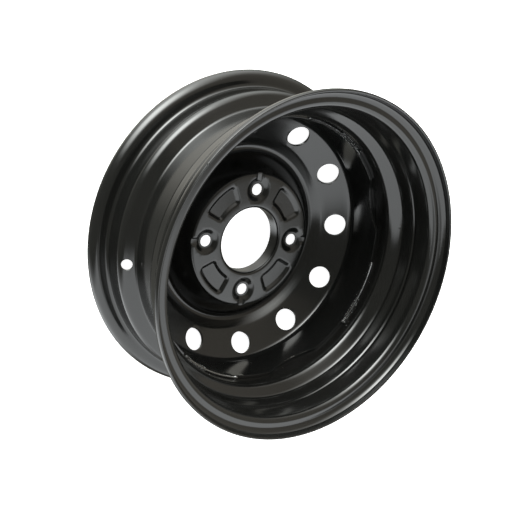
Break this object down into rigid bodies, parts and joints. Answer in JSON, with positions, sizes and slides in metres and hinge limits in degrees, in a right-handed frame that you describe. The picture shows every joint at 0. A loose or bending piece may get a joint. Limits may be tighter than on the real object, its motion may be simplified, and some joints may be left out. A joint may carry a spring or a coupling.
{
  "type": "steel road wheel rim",
  "caption": "Pressed steel car wheel: rolled drop-centre rim band welded to a pressed, vented centre disc, in satin black paint.",
  "frame": {"origin": "on the wheel's axis, in the plane that the outboard flange rests on", "axes": "+Z along the wheel's axis, towards the inboard side; +X through one bolt hole"},
  "size_m": [0.3632, 0.3632, 0.1542],
  "materials": {
    "rim_paint": "satin black paint on rolled steel sheet",
    "disc_paint": "satin black paint on pressed steel sheet",
    "weld_paint": "satin black paint over a rippled weld bead"
  },
  "bodies": {
    "root": {"rim_band": "rim_paint", "centre_disc": "disc_paint", "weld_bead_1": "weld_paint", "weld_bead_2": "weld_paint", "weld_bead_3": "weld_paint", "weld_bead_4": "weld_paint"}
  },
  "joints": []
}
